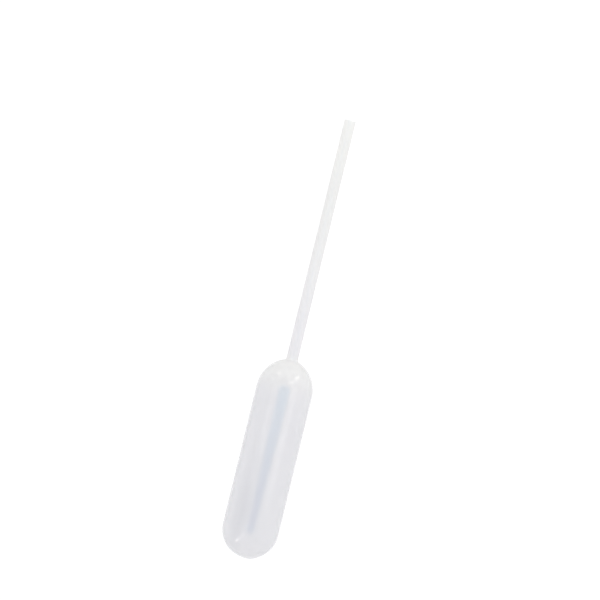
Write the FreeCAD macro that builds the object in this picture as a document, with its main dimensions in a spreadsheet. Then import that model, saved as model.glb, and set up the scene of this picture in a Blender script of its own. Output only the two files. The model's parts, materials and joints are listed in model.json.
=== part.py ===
"""Squeeze dropper pipette, blow-moulded in one piece from natural low-density polyethylene.

A capsule-shaped bulb runs through a round shoulder into a slim tapered stem with a straight,
open tip. It is hollow all the way, and it lies on its bulb with the stem clear of the surface.
Sizes are in millimetres. The long axis is X, the bulb's closed end is at -X and the tip at +X.
The origin is on the surface that the pipette lies on, halfway along it.
"""

import FreeCAD
import Part
import Sketcher

import math
import os

# name, value, what it is
SIZES = [
    ("overall_length", 95.0, "closed end to the cut face of the tip"),
    ("bulb_length", 42.8, "closed end to the root of the stem"),
    ("bulb_diameter", 12.0, "outside of the bulb"),
    ("bulb_wall", 0.4, "wall of the bulb, its dome and its shoulder"),
    ("shoulder_radius", 7.0, "outside arc that turns the bulb in to the stem"),
    ("stem_root_diameter", 2.45, "outside of the stem where it leaves the shoulder"),
    ("tip_diameter", 2.4, "outside of the straight tip"),
    ("tip_length", 10.0, "straight part of the stem at the tip"),
    ("bore_diameter", 1.35, "inside of the stem, the same from the bulb to the tip"),
    ("root_fillet", 0.4, "outside fillet between shoulder and stem"),
    ("throat_rounding", 0.25, "rounding of the inside edge where bulb opens into stem"),
    ("tip_rounding", 0.1, "rounding of the outside edge of the cut tip"),
]
LONG_AXIS = FreeCAD.Vector(1, 0, 0)
FULL_TURN = 360
EDGE_FINDING_TOLERANCE = 1e-4
START, END, CENTRE = 1, 2, 3
ORIGIN_POINT = (-1, 1)
X_AXIS = -1


def make_sheet(doc):
    """Write the driving dimensions into the spreadsheet, one row each."""
    sheet = doc.addObject("Spreadsheet::Sheet", "sizes")
    for row, (name, value, meaning) in enumerate(SIZES, start=1):
        sheet.set(f"A{row}", name)
        sheet.set(f"B{row}", str(value))
        sheet.set(f"C{row}", meaning)
        sheet.setAlias(f"B{row}", name)
    doc.recompute()
    return sheet


def wall_outline(sheet):
    """The wall's section on one side of the axis, as lines and arcs near their true places.

    It runs along the outside from the closed end to the tip, then back along the inside.
    """
    bulb_r = sheet.bulb_diameter / 2
    root_r = sheet.stem_root_diameter / 2
    tip_r = sheet.tip_diameter / 2
    shoulder_r = sheet.shoulder_radius
    tip_start = sheet.overall_length - sheet.tip_length
    dome_centre = (bulb_r, 0.0)

    def shoulder_reach(arc_r, at_r):
        """How far past the arc's start the shoulder has come in to the radius at_r."""
        return math.sqrt(arc_r**2 - (shoulder_r - bulb_r + at_r) ** 2)

    shoulder_start = sheet.bulb_length - shoulder_reach(shoulder_r, root_r)
    shoulder_centre = (shoulder_start, bulb_r - shoulder_r)
    inner_r = bulb_r - sheet.bulb_wall
    inner_shoulder_r = shoulder_r - sheet.bulb_wall
    bore_r = sheet.bore_diameter / 2
    throat_x = shoulder_start + shoulder_reach(inner_shoulder_r, bore_r)

    def line(x1, y1, x2, y2):
        return Part.LineSegment(FreeCAD.Vector(x1, y1, 0), FreeCAD.Vector(x2, y2, 0))

    def arc(centre, radius, start_deg, end_deg):
        circle = Part.Circle(FreeCAD.Vector(*centre, 0), FreeCAD.Vector(0, 0, 1), radius)
        return Part.ArcOfCircle(circle, math.radians(start_deg), math.radians(end_deg))

    root_deg = math.degrees(math.asin((shoulder_r - bulb_r + root_r) / shoulder_r))
    throat_deg = math.degrees(math.asin((shoulder_r - bulb_r + bore_r) / inner_shoulder_r))
    return {
        "dome": arc(dome_centre, bulb_r, 90, 180),
        "side": line(bulb_r, bulb_r, shoulder_start, bulb_r),
        "shoulder": arc(shoulder_centre, shoulder_r, root_deg, 90),
        "stem": line(sheet.bulb_length, root_r, tip_start, tip_r),
        "tip": line(tip_start, tip_r, sheet.overall_length, tip_r),
        "rim": line(sheet.overall_length, tip_r, sheet.overall_length, bore_r),
        "bore": line(sheet.overall_length, bore_r, throat_x, bore_r),
        "inner_shoulder": arc(shoulder_centre, inner_shoulder_r, throat_deg, 90),
        "inner_side": line(shoulder_start, inner_r, bulb_r, inner_r),
        "inner_dome": arc(dome_centre, inner_r, 90, 180),
        "closed_end": line(sheet.bulb_wall, 0, 0, 0),
    }


def draw_section(body, sheet):
    """Sketch the wall's section and tie every size in it to the sheet."""
    sketch = body.newObject("Sketcher::SketchObject", "wall_section")
    plane = next(f for f in body.Origin.OriginFeatures if f.Role == "XY_Plane")
    sketch.AttachmentSupport = [(plane, "")]
    sketch.MapMode = "FlatFace"

    outline = wall_outline(sheet)
    edge = {name: i for i, name in enumerate(outline)}
    sketch.addGeometry(list(outline.values()), False)

    def join(first, first_end, second, second_end):
        sketch.addConstraint(
            Sketcher.Constraint(
                "Coincident", edge[first], first_end, edge[second], second_end
            )
        )

    def join_smoothly(first, first_end, second, second_end):
        sketch.addConstraint(
            Sketcher.Constraint(
                "Tangent", edge[first], first_end, edge[second], second_end
            )
        )

    def size(name, expression, kind, *where):
        """Add a dimension and bind it to the sheet."""
        number = sketch.addConstraint(Sketcher.Constraint(kind, *where))
        sketch.renameConstraint(number, name)
        sketch.setExpression(f"Constraints.{name}", expression)

    join_smoothly("dome", START, "side", START)
    join_smoothly("side", END, "shoulder", END)
    join("shoulder", START, "stem", START)
    join("stem", END, "tip", START)
    join("tip", END, "rim", START)
    join("rim", END, "bore", START)
    join("bore", END, "inner_shoulder", START)
    join_smoothly("inner_shoulder", END, "inner_side", START)
    join_smoothly("inner_side", END, "inner_dome", START)
    join("inner_dome", END, "closed_end", START)
    join("closed_end", END, "dome", END)
    join("inner_shoulder", CENTRE, "shoulder", CENTRE)
    join("inner_dome", CENTRE, "dome", CENTRE)

    for name in ("side", "tip", "bore", "inner_side", "closed_end"):
        sketch.addConstraint(Sketcher.Constraint("Horizontal", edge[name]))
    sketch.addConstraint(Sketcher.Constraint("Vertical", edge["rim"]))
    sketch.addConstraint(Sketcher.Constraint("Coincident", edge["dome"], END, *ORIGIN_POINT))
    sketch.addConstraint(
        Sketcher.Constraint("PointOnObject", edge["dome"], CENTRE, X_AXIS)
    )

    bulb_r = sheet.bulb_diameter / 2
    root_r = sheet.stem_root_diameter / 2
    tip_r = sheet.tip_diameter / 2
    tip_start = sheet.overall_length - sheet.tip_length
    size("bulb_radius", "sizes.bulb_diameter / 2", "Radius", edge["dome"], bulb_r)
    size(
        "shoulder_arc", "sizes.shoulder_radius", "Radius",
        edge["shoulder"], sheet.shoulder_radius,
    )
    size(
        "inner_shoulder_arc", "sizes.shoulder_radius - sizes.bulb_wall", "Radius",
        edge["inner_shoulder"], sheet.shoulder_radius - sheet.bulb_wall,
    )
    size(
        "root_place", "sizes.bulb_length", "DistanceX",
        *ORIGIN_POINT, edge["stem"], START, sheet.bulb_length,
    )
    size(
        "root_radius", "sizes.stem_root_diameter / 2", "DistanceY",
        *ORIGIN_POINT, edge["stem"], START, root_r,
    )
    size(
        "tip_start", "sizes.overall_length - sizes.tip_length", "DistanceX",
        *ORIGIN_POINT, edge["tip"], START, tip_start,
    )
    size(
        "tip_end", "sizes.overall_length", "DistanceX",
        *ORIGIN_POINT, edge["tip"], END, sheet.overall_length,
    )
    size(
        "tip_radius", "sizes.tip_diameter / 2", "DistanceY",
        *ORIGIN_POINT, edge["tip"], END, tip_r,
    )
    size(
        "bore_radius", "sizes.bore_diameter / 2", "DistanceY",
        *ORIGIN_POINT, edge["bore"], START, sheet.bore_diameter / 2,
    )
    return sketch


def ring_edge(shape, radius, x_near):
    """Name of the full-circle edge of that radius which lies nearest to x_near."""
    rings = [
        (abs(edge.Curve.Center.x - x_near), f"Edge{number}")
        for number, edge in enumerate(shape.Edges, start=1)
        if not edge.Degenerated
        and isinstance(edge.Curve, Part.Circle)
        and edge.Curve.Axis.cross(LONG_AXIS).Length < EDGE_FINDING_TOLERANCE
        and abs(edge.Curve.Radius - radius) < EDGE_FINDING_TOLERANCE
    ]
    return min(rings)[1]


def round_ring(doc, body, base, name, size_name, radius, x_near):
    """Fillet one ring of the feature base, found by its radius and its place along the axis."""
    fillet = body.newObject("PartDesign::Fillet", name)
    fillet.Base = (base, [ring_edge(base.Shape, radius, x_near)])
    fillet.setExpression("Radius", f"sizes.{size_name}")
    doc.recompute()
    return fillet


def make_pipette(doc, sheet):
    """The whole pipette: its wall revolved about the long axis, then rounded."""
    body = doc.addObject("PartDesign::Body", "pipette")
    body.Label = "pipette"
    sketch = draw_section(body, sheet)
    doc.recompute()

    wall = body.newObject("PartDesign::Revolution", "moulded_wall")
    wall.Profile = sketch
    wall.ReferenceAxis = (sketch, ["H_Axis"])
    wall.Angle = FULL_TURN
    doc.recompute()

    root_r = sheet.stem_root_diameter / 2
    tip_r = sheet.tip_diameter / 2
    bore_r = sheet.bore_diameter / 2
    root = round_ring(doc, body, wall, "root", "root_fillet", root_r, sheet.bulb_length)
    throat = round_ring(doc, body, root, "throat", "throat_rounding", bore_r, sheet.bulb_length)
    round_ring(doc, body, throat, "tip_edge", "tip_rounding", tip_r, sheet.overall_length)

    # Half the length each side of the origin, and resting on the side of the bulb.
    body.setExpression("Placement.Base.x", "-sizes.overall_length / 2")
    body.setExpression("Placement.Base.z", "sizes.bulb_diameter / 2")
    doc.recompute()
    return body


def check(doc, parts):
    """Stop if any object failed to compute or any sub-part isn't a sound solid."""
    for thing in doc.Objects:
        if "Invalid" in thing.State or "Error" in thing.State:
            raise RuntimeError(f"{thing.Name} failed: {thing.State}")
    for part in parts:
        if part.Shape.isNull() or not part.Shape.isValid():
            raise RuntimeError(f"{part.Label} has no valid shape")


def main():
    doc = FreeCAD.newDocument("dropper_pipette")
    sheet = make_sheet(doc)
    parts = [make_pipette(doc, sheet)]
    check(doc, parts)
    os.makedirs("parts", exist_ok=True)
    for part in parts:
        part.Shape.exportStep(os.path.join("parts", f"{part.Label}.step"))
        box = part.Shape.BoundBox
        print(
            f"{part.Label}: {part.Shape.Volume:.1f} mm3, "
            f"{box.XLength:.2f} x {box.YLength:.2f} x {box.ZLength:.2f} mm"
        )


main()
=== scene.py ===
"""Looks of the squeeze dropper pipette: one hollow moulding in natural low-density polyethylene.

Everything is in metres, in the frame of the solids: the long axis is X, the bulb's closed end
is at -X, and the pipette lies on its bulb on the floor at Z = 0.
"""

import json
import math

import bmesh
import bpy
from mathutils import Matrix, Vector, noise


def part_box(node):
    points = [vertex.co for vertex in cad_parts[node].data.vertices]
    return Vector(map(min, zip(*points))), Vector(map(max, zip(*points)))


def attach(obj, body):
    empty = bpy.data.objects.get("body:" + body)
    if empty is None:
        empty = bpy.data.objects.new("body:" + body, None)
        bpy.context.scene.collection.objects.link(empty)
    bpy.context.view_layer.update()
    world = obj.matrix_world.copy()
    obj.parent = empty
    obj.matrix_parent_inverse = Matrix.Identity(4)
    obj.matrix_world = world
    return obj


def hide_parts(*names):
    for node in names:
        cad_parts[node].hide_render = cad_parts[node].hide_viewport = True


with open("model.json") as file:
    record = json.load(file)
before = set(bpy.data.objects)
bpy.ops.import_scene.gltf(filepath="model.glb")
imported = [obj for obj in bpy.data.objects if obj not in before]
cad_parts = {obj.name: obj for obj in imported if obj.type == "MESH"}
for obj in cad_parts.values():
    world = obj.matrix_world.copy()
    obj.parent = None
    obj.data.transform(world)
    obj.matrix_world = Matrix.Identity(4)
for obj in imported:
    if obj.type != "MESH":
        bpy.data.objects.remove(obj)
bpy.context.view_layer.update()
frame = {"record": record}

# --- Moulded body ---------------------------------------------------------------------------
# Bulb, shoulder, stem and tip are one tube of soft polyethylene, blown against a two-part
# mould while hot. Its outline is drawn as a moulder's template, out along the outside and back
# along the inside, and is then turned about the long axis.

MM = 0.001
mounts = {mount["name"]: mount["dims"] for mount in frame["record"]["mounts"]}
low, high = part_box("pipette")
CLOSED_END_X = low.x
TIP_X = high.x
AXIS_Z = (low.z + high.z) / 2

BULB_R = mounts["bulb_outside"]["r_mm"] * MM
TIP_R = mounts["tip_outside"]["r_mm"] * MM
BORE_R = mounts["stem_bore"]["r_mm"] * MM
TIP_STRAIGHT = 10.0 * MM
ROOT_R = 1.225 * MM
BULB_LENGTH = 42.8 * MM
BULB_WALL = 0.4 * MM
SHOULDER_R = 7.0 * MM
ROOT_FILLET = 0.4 * MM
THROAT_ROUNDING = 0.25 * MM
TIP_ROUNDING = 0.1 * MM

TURN_STEPS = 192
DOME_STEPS = 26
SIDE_STEPS = 44
SHOULDER_STEPS = 26
STEM_STEPS = 52
TIP_STEPS = 12
CUT_FACE_STEPS = 2
ROUNDING_STEPS = 5
SAME_PLACE = 0.001 * MM


def draw_arc(mesh, point, centre, degrees, steps):
    """Carry the template's last point round a centre and return the point it ends at."""
    drawn = bmesh.ops.spin(
        mesh, geom=[point], cent=centre, axis=(0, 0, 1), angle=math.radians(degrees),
        steps=steps, use_merge=False, use_duplicate=False,
    )
    return drawn["geom_last"][0]


def draw_line(mesh, point, x, y, steps):
    """Carry the template's last point straight to a place and return the point it ends at."""
    step = (Vector((x, y, 0)) - point.co) / steps
    drawn = bmesh.ops.spin(
        mesh, geom=[point], cent=point.co, axis=(0, 0, 1), dvec=step, angle=0.0,
        steps=steps, use_merge=False, use_duplicate=False,
    )
    return drawn["geom_last"][0]


dome_centre = Vector((CLOSED_END_X + BULB_R, 0, 0))
shoulder_drop = SHOULDER_R - BULB_R
shoulder_centre = Vector((
    CLOSED_END_X + BULB_LENGTH - math.sqrt(SHOULDER_R**2 - (shoulder_drop + ROOT_R) ** 2),
    -shoulder_drop,
    0,
))
fillet_y = ROOT_R + ROOT_FILLET
fillet_turn = math.asin((fillet_y + shoulder_drop) / (SHOULDER_R + ROOT_FILLET))
fillet_centre = Vector((
    shoulder_centre.x + (SHOULDER_R + ROOT_FILLET) * math.cos(fillet_turn), fillet_y, 0,
))
inner_r = BULB_R - BULB_WALL
inner_shoulder_r = SHOULDER_R - BULB_WALL
throat_y = BORE_R + THROAT_ROUNDING
throat_turn = math.asin((throat_y + shoulder_drop) / (inner_shoulder_r + THROAT_ROUNDING))
throat_centre = Vector((
    shoulder_centre.x + (inner_shoulder_r + THROAT_ROUNDING) * math.cos(throat_turn),
    throat_y,
    0,
))
QUARTER = 90.0
fillet_degrees = math.degrees(fillet_turn)
throat_degrees = math.degrees(throat_turn)

# Each point is marked 1 on the outside skin and 0 on the inside one, for the material to read.
shell = bmesh.new()
outside = shell.verts.layers.float.new("outside")
point = shell.verts.new((CLOSED_END_X, 0, 0))
point[outside] = 1.0
point = draw_arc(shell, point, dome_centre, -QUARTER, DOME_STEPS)
point = draw_line(shell, point, shoulder_centre.x, BULB_R, SIDE_STEPS)
point = draw_arc(shell, point, shoulder_centre, fillet_degrees - QUARTER, SHOULDER_STEPS)
point = draw_arc(shell, point, fillet_centre, QUARTER - fillet_degrees, ROUNDING_STEPS)
point = draw_line(shell, point, TIP_X - TIP_STRAIGHT, TIP_R, STEM_STEPS)
point = draw_line(shell, point, TIP_X - TIP_ROUNDING, TIP_R, TIP_STEPS)
tip_centre = Vector((TIP_X - TIP_ROUNDING, TIP_R - TIP_ROUNDING, 0))
point = draw_arc(shell, point, tip_centre, -QUARTER, ROUNDING_STEPS)
point[outside] = 0.0
point = draw_line(shell, point, TIP_X, BORE_R, CUT_FACE_STEPS)
point = draw_line(shell, point, throat_centre.x, BORE_R, STEM_STEPS + TIP_STEPS)
point = draw_arc(shell, point, throat_centre, throat_degrees - QUARTER, ROUNDING_STEPS)
point = draw_arc(shell, point, shoulder_centre, QUARTER - throat_degrees, SHOULDER_STEPS)
point = draw_line(shell, point, dome_centre.x, inner_r, SIDE_STEPS)
point = draw_arc(shell, point, dome_centre, QUARTER, DOME_STEPS)

bmesh.ops.spin(
    shell, geom=shell.verts[:] + shell.edges[:], cent=(0, 0, 0), axis=(1, 0, 0),
    angle=2 * math.pi, steps=TURN_STEPS, use_merge=True, use_duplicate=False,
)
bmesh.ops.remove_doubles(shell, verts=shell.verts[:], dist=SAME_PLACE)
bmesh.ops.recalc_face_normals(shell, faces=shell.faces[:])

# The two halves of the mould leave a fine raised line with small nibs along each side. At the
# closed end the hot tube was pinched shut there, which leaves a short scar outside and a bead
# inside. The wall that the air blew out is never quite even, so it has slow shallow waves.
PARTING_TURN = 30.0
PARTING_RIDGE = 0.025 * MM
RIDGE_NIB = 0.03 * MM
NIB_SPACING = 1.7 * MM
NIBS_ABOVE = 0.3
RIDGE_STOPS_BEFORE_TIP = 0.2 * MM
PINCH_SCAR = 0.1 * MM
PINCH_LENGTH = 3.2 * MM
PINCH_BEAD = 0.25 * MM
PINCH_BEAD_WIDTH = 1.1 * MM
WAVE_HEIGHT = 0.02 * MM
WAVE_LENGTH = 6.0 * MM
ON_PARTING_PLANE = 0.002 * MM

across_parting = Vector((0, 0, 1))
across_parting.rotate(Matrix.Rotation(math.radians(-PARTING_TURN), 3, "X"))
along_parting = across_parting.cross(Vector((1, 0, 0)))
shell.normal_update()
for vert in shell.verts:
    place, normal, is_outside = vert.co.copy(), vert.normal.copy(), vert[outside] > 0.5
    from_axis = math.hypot(place.y, place.z)
    near_end = max(0.0, 1 - (place.x - CLOSED_END_X) / PINCH_LENGTH)
    blown_thin = min(1.0, max(0.0, (from_axis - ROOT_R) / BULB_WALL))
    vert.co += normal * noise.noise(place / WAVE_LENGTH) * WAVE_HEIGHT * blown_thin
    off_parting = place.dot(across_parting)
    if is_outside and abs(off_parting) < ON_PARTING_PLANE:
        if place.x < TIP_X - RIDGE_STOPS_BEFORE_TIP:
            nib = max(0.0, noise.noise(place / NIB_SPACING) - NIBS_ABOVE) * RIDGE_NIB
            vert.co += normal * (PARTING_RIDGE + nib + PINCH_SCAR * near_end)
    if not is_outside and near_end > 0:
        across = math.exp(-((off_parting / PINCH_BEAD_WIDTH) ** 2))
        along = math.exp(-((place.dot(along_parting) / PINCH_LENGTH) ** 2))
        vert.co.x += PINCH_BEAD * across * along * near_end

bmesh.ops.translate(shell, verts=shell.verts[:], vec=(0, 0, AXIS_Z))
for face in shell.faces:
    face.smooth = True
shell_mesh = bpy.data.meshes.new("moulded_pipette")
shell.to_mesh(shell_mesh)
shell.free()
moulded_pipette = bpy.data.objects.new("moulded_pipette", shell_mesh)
bpy.context.scene.collection.objects.link(moulded_pipette)


def linear(code):
    """A colour written as sRGB hex, as linear red, green, blue and alpha."""
    parts = [int(code[i:i + 2], 16) / 255 for i in (1, 3, 5)]
    return [p / 12.92 if p <= 0.04045 else ((p + 0.055) / 1.055) ** 2.4 for p in parts] + [1.0]


PURE_WHITE = linear("#FFFFFF")
# Sockets of a Mix node: its share, its two numbers, its two colours and the mixed colour.
SHARE, NUMBER_A, NUMBER_B, COLOUR_A, COLOUR_B, MIXED = 0, 2, 3, 6, 7, 2


def add(nodes, kind, links=(), **settings):
    """Add a shader node with its settings; links pairs its sockets with what feeds them."""
    node = nodes.new(kind)
    for name, value in settings.items():
        setattr(node, name, value)
    for socket, source in dict(links).items():
        if isinstance(source, bpy.types.NodeSocket):
            node.id_data.links.new(source, node.inputs[socket])
        else:
            node.inputs[socket].default_value = source
    return node


# Natural low-density polyethylene, blown against a polished mould: milky and see-through at
# once, and glossy on the bulb. The stem's wall is the thicker one, so it is milkier, and it is
# duller. Light crosses so thin a wall without bending, so the body's own index is 1 and the
# coat carries the gloss, at the plastic's true index. The milkiness of the whole wall is on its
# outside skin, and what the wall takes from the light darkens the rims, where one looks along it.
# A faint patch of painted shade darkens the upper side of the bulb, towards the closed end.
# The wall's own tone along its length. The lighter stop at the shoulder is painted light, for the
# brighter light the shoulder catches, and the stem is a little darker where it leaves the
# shoulder.
WALL_TONES_AND_PAINTED_LIGHT = (
    # distance from the closed end as a share of the length, colour of the wall there
    (0.355, "#E7E6E8"), (0.44, "#F1F0EE"), (0.475, "#ECEAEB"), (0.80, "#EEEDEB"),
    (0.95, "#F0EFEC"),
)
CLEAR_PLACES = "#FFFFFF"
MILKY_PLACES = "#FCFBFC"
LDPE_IOR = 1.55
THIN_WALL_IOR = 1.0
BULB_CLEARNESS = 0.76
STEM_CLEARNESS = 0.7
CLEARNESS_CHANGES_WITHIN = 1.6 * MM
BULB_SHINE = 1.0
STEM_SHINE = 0.25
SKIN_ROUGHNESS = 0.3
CLOUDY_ROUGHNESS = 0.36
COAT_ROUGHNESS = 0.08
WALL_TINT = "#E9E9E9"
WALL_ABSORPTION = 120.0
# Painted shade on the upper side of the bulb towards the closed end: its colour, place and size.
PAINTED_SHADE_COLOUR = "#EEEFF1"
PAINTED_SHADE_FROM_END = 10.5 * MM
PAINTED_SHADE_TO_LEFT = 2.7 * MM
PAINTED_SHADE_HALF_LONG = 15.0 * MM
PAINTED_SHADE_HALF_WIDE = 2.3 * MM
CLOUD_SIZE = 5.0 * MM
CLOUDS_FROM, CLOUDS_TO = 0.3, 0.7
RIPPLE_ACROSS = 0.9 * MM
RIPPLE_ALONG = 14.0 * MM
RIPPLE_DEPTH = 0.02 * MM
RIPPLE_STRENGTH = 0.15
PEEL_SIZE = 0.35 * MM
PEEL_DEPTH = 0.006 * MM
PEEL_STRENGTH = 0.12

natural_ldpe = bpy.data.materials.new("natural_ldpe_blown")
natural_ldpe.use_nodes = True
nodes = natural_ldpe.node_tree.nodes
nodes.clear()
place = add(nodes, "ShaderNodeTexCoord").outputs["Object"]
clouds = add(nodes, "ShaderNodeTexNoise", {
    "Vector": place, "Scale": 1 / CLOUD_SIZE, "Detail": 2.0, "Roughness": 0.5,
})
milkiness = add(nodes, "ShaderNodeMix", {
    SHARE: clouds.outputs["Fac"], COLOUR_A: linear(CLEAR_PLACES),
    COLOUR_B: linear(MILKY_PLACES),
}, data_type="RGBA")
along_axis = add(nodes, "ShaderNodeSeparateXYZ", {"Vector": place})
share_of_length = add(nodes, "ShaderNodeMapRange", {
    "Value": along_axis.outputs["X"], "From Min": CLOSED_END_X, "From Max": TIP_X,
})
by_length = add(nodes, "ShaderNodeValToRGB", {"Fac": share_of_length.outputs["Result"]})
by_length.color_ramp.interpolation = "EASE"
stops = by_length.color_ramp.elements
for number, (share, code) in enumerate(WALL_TONES_AND_PAINTED_LIGHT):
    if number == len(stops):
        stops.new(share)
    stops[number].position = share
    stops[number].color = linear(code)
# The wall's tone along its length, with the painted lighter band at the shoulder, times the milky
# clouds.
wall_colour_and_painted_light = add(nodes, "ShaderNodeMix", {
    SHARE: 1.0, COLOUR_A: by_length.outputs["Color"], COLOUR_B: milkiness.outputs[MIXED],
}, data_type="RGBA", blend_type="MULTIPLY")
# The painted shade: a soft darker patch on the upper side of the bulb, multiplied into the wall's
# colour.
painted_shade_place = add(nodes, "ShaderNodeMapping", {
    "Vector": place, "Location": (CLOSED_END_X + PAINTED_SHADE_FROM_END, PAINTED_SHADE_TO_LEFT, high.z),
    "Scale": (PAINTED_SHADE_HALF_LONG, PAINTED_SHADE_HALF_WIDE, BULB_R),
}, vector_type="TEXTURE")
painted_shade = add(nodes, "ShaderNodeTexGradient", {
    "Vector": painted_shade_place.outputs["Vector"],
}, gradient_type="SPHERICAL")
colour_with_painted_shade = add(nodes, "ShaderNodeMix", {
    SHARE: painted_shade.outputs["Fac"], COLOUR_A: wall_colour_and_painted_light.outputs[MIXED],
    COLOUR_B: linear(PAINTED_SHADE_COLOUR),
}, data_type="RGBA", blend_type="MULTIPLY")
on_outside = add(nodes, "ShaderNodeAttribute", attribute_name="outside").outputs["Fac"]
skin_colour = add(nodes, "ShaderNodeMix", {
    SHARE: on_outside, COLOUR_A: PURE_WHITE, COLOUR_B: colour_with_painted_shade.outputs[MIXED],
}, data_type="RGBA")
gloss_range = add(nodes, "ShaderNodeMapRange", {
    "Value": clouds.outputs["Fac"], "From Min": CLOUDS_FROM, "From Max": CLOUDS_TO,
    "To Min": SKIN_ROUGHNESS, "To Max": CLOUDY_ROUGHNESS,
})
along_draw = add(nodes, "ShaderNodeMapping", {
    "Vector": place, "Scale": (1 / RIPPLE_ALONG, 1 / RIPPLE_ACROSS, 1 / RIPPLE_ACROSS),
})
ripples = add(nodes, "ShaderNodeTexNoise", {
    "Vector": along_draw.outputs["Vector"], "Scale": 1.0, "Detail": 1.0,
})
peel = add(nodes, "ShaderNodeTexNoise", {
    "Vector": place, "Scale": 1 / PEEL_SIZE, "Detail": 1.0,
})
ripple_bump = add(nodes, "ShaderNodeBump", {
    "Height": ripples.outputs["Fac"], "Strength": RIPPLE_STRENGTH, "Distance": RIPPLE_DEPTH,
})
peel_bump = add(nodes, "ShaderNodeBump", {
    "Height": peel.outputs["Fac"], "Strength": PEEL_STRENGTH, "Distance": PEEL_DEPTH,
    "Normal": ripple_bump.outputs["Normal"],
})
clearness = add(nodes, "ShaderNodeMapRange", {
    "Value": along_axis.outputs["X"], "From Min": fillet_centre.x - CLEARNESS_CHANGES_WITHIN,
    "From Max": fillet_centre.x + CLEARNESS_CHANGES_WITHIN, "To Min": BULB_CLEARNESS,
    "To Max": STEM_CLEARNESS,
}, interpolation_type="SMOOTHSTEP")
skin_clearness = add(nodes, "ShaderNodeMix", {
    SHARE: on_outside, NUMBER_A: 1.0, NUMBER_B: clearness.outputs["Result"],
}, data_type="FLOAT")
shine = add(nodes, "ShaderNodeMapRange", {
    "Value": along_axis.outputs["X"], "From Min": shoulder_centre.x + SHOULDER_R / 2,
    "From Max": fillet_centre.x, "To Min": BULB_SHINE, "To Max": STEM_SHINE,
}, interpolation_type="SMOOTHSTEP")
plastic = add(nodes, "ShaderNodeBsdfPrincipled", {
    "Base Color": skin_colour.outputs[MIXED], "Roughness": gloss_range.outputs["Result"],
    "IOR": THIN_WALL_IOR, "Transmission Weight": skin_clearness.outputs[0],
    "Coat Weight": shine.outputs["Result"], "Coat IOR": LDPE_IOR, "Coat Roughness": COAT_ROUGHNESS,
    "Normal": peel_bump.outputs["Normal"],
})
in_the_wall = add(nodes, "ShaderNodeVolumeAbsorption", {
    "Color": linear(WALL_TINT), "Density": WALL_ABSORPTION,
})
add(nodes, "ShaderNodeOutputMaterial", {
    "Surface": plastic.outputs["BSDF"], "Volume": in_the_wall.outputs["Volume"],
})
shell_mesh.materials.append(natural_ldpe)

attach(moulded_pipette, "root")
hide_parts("pipette")

# --- Floor ----------------------------------------------------------------------------------
# A plain white table under the pipette. It keeps a faint shadow of the bulb, and it is partly
# its own white to the camera and in reflections, so that it stays an even white to its edges.
FLOOR_HALF = 3.0
FLOOR_UNDER_BULB = 0.03 * MM
FLOOR_WHITE = "#F2F2F2"
OWN_WHITE_SHARE = 0.75
OWN_WHITE_STRENGTH = 1.1

floor_bm = bmesh.new()
bmesh.ops.create_grid(floor_bm, x_segments=1, y_segments=1, size=FLOOR_HALF)
bmesh.ops.translate(floor_bm, verts=floor_bm.verts[:], vec=(0, 0, -FLOOR_UNDER_BULB))
floor_mesh = bpy.data.meshes.new("floor")
floor_bm.to_mesh(floor_mesh)
floor_bm.free()
floor = bpy.data.objects.new("floor", floor_mesh)
bpy.context.scene.collection.objects.link(floor)
table_white = bpy.data.materials.new("table_white")
table_white.use_nodes = True
nodes = table_white.node_tree.nodes
nodes.clear()
ray = add(nodes, "ShaderNodeLightPath")
seen_or_mirrored = add(nodes, "ShaderNodeMath", {
    0: ray.outputs["Is Camera Ray"], 1: ray.outputs["Is Glossy Ray"],
}, operation="MAXIMUM")
seen = add(nodes, "ShaderNodeMath", {
    0: seen_or_mirrored.outputs[0], 1: ray.outputs["Is Transmission Ray"],
}, operation="MAXIMUM")
own_white_share = add(nodes, "ShaderNodeMath", {
    0: seen.outputs[0], 1: OWN_WHITE_SHARE,
}, operation="MULTIPLY")
matt = add(nodes, "ShaderNodeBsdfDiffuse", {"Color": linear(FLOOR_WHITE)})
own_white = add(nodes, "ShaderNodeEmission", {
    "Color": PURE_WHITE, "Strength": OWN_WHITE_STRENGTH,
})
table_mix = add(nodes, "ShaderNodeMixShader", {
    0: own_white_share.outputs[0], 1: matt.outputs[0], 2: own_white.outputs[0],
})
add(nodes, "ShaderNodeOutputMaterial", {"Surface": table_mix.outputs[0]})
floor_mesh.materials.append(table_white)

# --- Light ----------------------------------------------------------------------------------
# A white light tent all round, a little brighter on one side, with the dim bluish opening at
# its top that one looks in through. The opening draws the long soft streak down the bulb, and
# the soft boxes draw the glints and the paler band beside the streak.
# The opening's places and sizes are in degrees from upright, towards the tip and to the left.
TENT_STRENGTH = 1.0
BRIGHTER_TOWARDS = (0.80, -0.42, 0.43)
BRIGHTER_BY = 0.3
OPENING_BLUE = "#A0E0FF"
OPENING_DEEP = "#0050B0"
OPENING_TOWARDS_TIP = 4.5
OPENING_HALF_ALONG = 17.0
OPENING_TO_LEFT = 1.0
OPENING_HALF_ACROSS = 25.5
OPENING_NARROW_END = 20.5
NARROWING_FROM, NARROWING_TO = -3.5, -8.4
OPENING_SOFT_EDGE = 0.2


def slope(degrees):
    """How far a direction so many degrees from upright leans along one axis."""
    return math.sin(math.radians(degrees))


tent = bpy.data.worlds.new("light_tent")
bpy.context.scene.world = tent
tent.use_nodes = True
nodes = tent.node_tree.nodes
nodes.clear()
direction = add(nodes, "ShaderNodeTexCoord").outputs["Generated"]
parts = add(nodes, "ShaderNodeSeparateXYZ", {"Vector": direction})

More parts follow.
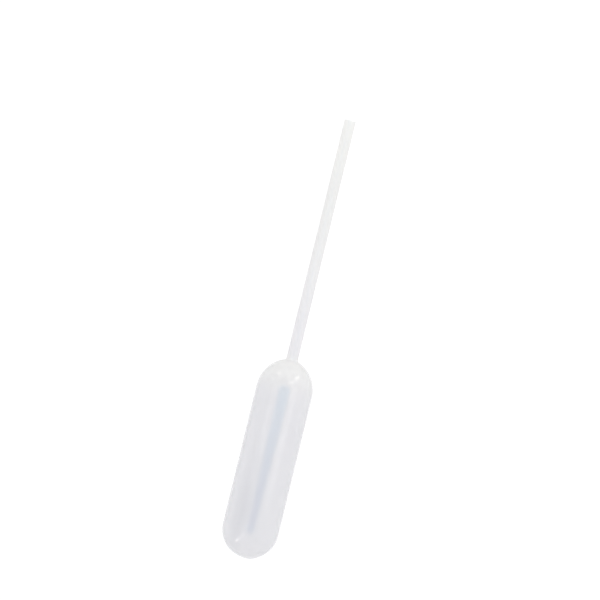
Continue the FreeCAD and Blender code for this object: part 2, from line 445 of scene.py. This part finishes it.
closed_end_side = add(nodes, "ShaderNodeMapRange", {
    "Value": parts.outputs["X"],
    "From Min": slope(NARROWING_FROM), "From Max": slope(NARROWING_TO),
})
half_across = add(nodes, "ShaderNodeMapRange", {
    "Value": closed_end_side.outputs["Result"],
    "To Min": slope(OPENING_HALF_ACROSS), "To Max": slope(OPENING_NARROW_END),
})
along = add(nodes, "ShaderNodeMapRange", {
    "Value": parts.outputs["X"], "From Min": slope(OPENING_TOWARDS_TIP),
    "From Max": slope(OPENING_TOWARDS_TIP + OPENING_HALF_ALONG),
}, clamp=False)
from_left = add(nodes, "ShaderNodeMath", {
    0: parts.outputs["Y"], 1: slope(OPENING_TO_LEFT),
}, operation="SUBTRACT")
across = add(nodes, "ShaderNodeMath", {
    0: from_left.outputs[0], 1: half_across.outputs["Result"],
}, operation="DIVIDE")
from_middle = add(nodes, "ShaderNodeCombineXYZ", {
    "X": along.outputs["Result"], "Y": across.outputs[0],
})
reach = add(nodes, "ShaderNodeVectorMath", {0: from_middle.outputs[0]}, operation="LENGTH")
inside = add(nodes, "ShaderNodeMapRange", {
    "Value": reach.outputs["Value"], "From Min": 1 - OPENING_SOFT_EDGE,
    "From Max": 1 + OPENING_SOFT_EDGE, "To Min": 1.0, "To Max": 0.0,
}, interpolation_type="SMOOTHSTEP")
overhead = add(nodes, "ShaderNodeMath", {
    0: parts.outputs["Z"], 1: 0.0,
}, operation="GREATER_THAN")
opening = add(nodes, "ShaderNodeMath", {
    0: inside.outputs["Result"], 1: overhead.outputs[0],
}, operation="MULTIPLY")
opening_colour = add(nodes, "ShaderNodeMix", {
    SHARE: closed_end_side.outputs["Result"], COLOUR_A: linear(OPENING_BLUE),
    COLOUR_B: linear(OPENING_DEEP),
}, data_type="RGBA")
tent_colour = add(nodes, "ShaderNodeMix", {
    SHARE: opening.outputs[0], COLOUR_A: PURE_WHITE, COLOUR_B: opening_colour.outputs[MIXED],
}, data_type="RGBA")
bright_side = add(nodes, "ShaderNodeVectorMath", {
    0: direction, 1: BRIGHTER_TOWARDS,
}, operation="DOT_PRODUCT")
tent_strength = add(nodes, "ShaderNodeMapRange", {
    "Value": bright_side.outputs["Value"], "From Min": 0.0, "From Max": 1.0,
    "To Min": TENT_STRENGTH, "To Max": TENT_STRENGTH + BRIGHTER_BY,
})
tent_light = add(nodes, "ShaderNodeBackground", {
    "Color": tent_colour.outputs[MIXED], "Strength": tent_strength.outputs["Result"],
})
# Past the table's edge the camera sees a plain white backdrop and not the tent's shading.
backdrop = add(nodes, "ShaderNodeBackground", {"Color": PURE_WHITE, "Strength": 1.0})
ray = add(nodes, "ShaderNodeLightPath")
seen_plain = add(nodes, "ShaderNodeMixShader", {
    0: ray.outputs["Is Camera Ray"], 1: tent_light.outputs[0], 2: backdrop.outputs[0],
})
add(nodes, "ShaderNodeOutputWorld", {"Surface": seen_plain.outputs[0]})

SOFT_BOX_DISTANCE = 1.0
WINDOW_WHITE = "#FFF8F0"
SOFT_BOXES = (
    # name, directions of its two ends from the bulb, width, radiance beside white's 1
    ("window_upper_pane", (0.51, -0.15, 0.85), (0.61, -0.49, 0.62), 0.12, 1.7),
    ("window_lower_pane", (0.75, -0.42, 0.51), (0.77, -0.63, 0.12), 0.09, 2.0),
    ("far_window", (0.84, 0.45, 0.31), (0.70, 0.69, 0.18), 0.08, 2.1),
    ("closed_end_window", (-0.76, 0.61, 0.20), (-0.72, 0.57, 0.39), 0.12, 3.0),
    ("closed_end_strip", (-0.72, 0.57, 0.39), (-0.26, 0.34, 0.90), 0.14, 1.1),
    ("overhead_panel", (-0.15, -0.62, 0.73), (0.30, -0.60, 0.74), 0.45, 0.8),
)
for name, end_a, end_b, width, radiance in SOFT_BOXES:
    end_a, end_b = Vector(end_a).normalized(), Vector(end_b).normalized()
    away = (end_a + end_b).normalized()
    lengthways = (end_a - end_b).normalized()
    length = 2 * math.tan(end_a.angle(end_b) / 2) * SOFT_BOX_DISTANCE
    box_light = bpy.data.lights.new(name, "AREA")
    box_light.shape = "RECTANGLE"
    box_light.size = width
    box_light.size_y = length
    box_light.energy = radiance * math.pi * width * length
    box_light.color = linear(WINDOW_WHITE)[:3]
    soft_box = bpy.data.objects.new(name, box_light)
    bpy.context.scene.collection.objects.link(soft_box)
    soft_box.location = away * SOFT_BOX_DISTANCE
    turn = Matrix((lengthways.cross(away), lengthways, away)).transposed()
    soft_box.rotation_euler = turn.to_euler()

# --- Camera ---------------------------------------------------------------------------------
# It looks straight down on the pipette as it lies, and is rolled so that the bulb is at the
# bottom and the tip leans to the right.
CAMERA_PLACE = (8.13 * MM, 1.34 * MM, 358.6 * MM)
CAMERA_ROLL = -76.3
LENS = 100.0
SENSOR = 36.0
CLIP_START = 0.01
CLIP_END = 50.0

camera_data = bpy.data.cameras.new("camera")
camera_data.lens = LENS
camera_data.sensor_width = SENSOR
camera_data.clip_start = CLIP_START
camera_data.clip_end = CLIP_END
camera = bpy.data.objects.new("camera", camera_data)
bpy.context.scene.collection.objects.link(camera)
camera.location = CAMERA_PLACE
camera.rotation_euler = (0, 0, math.radians(CAMERA_ROLL))
bpy.context.scene.camera = camera
bpy.context.scene.view_settings.view_transform = "Standard"
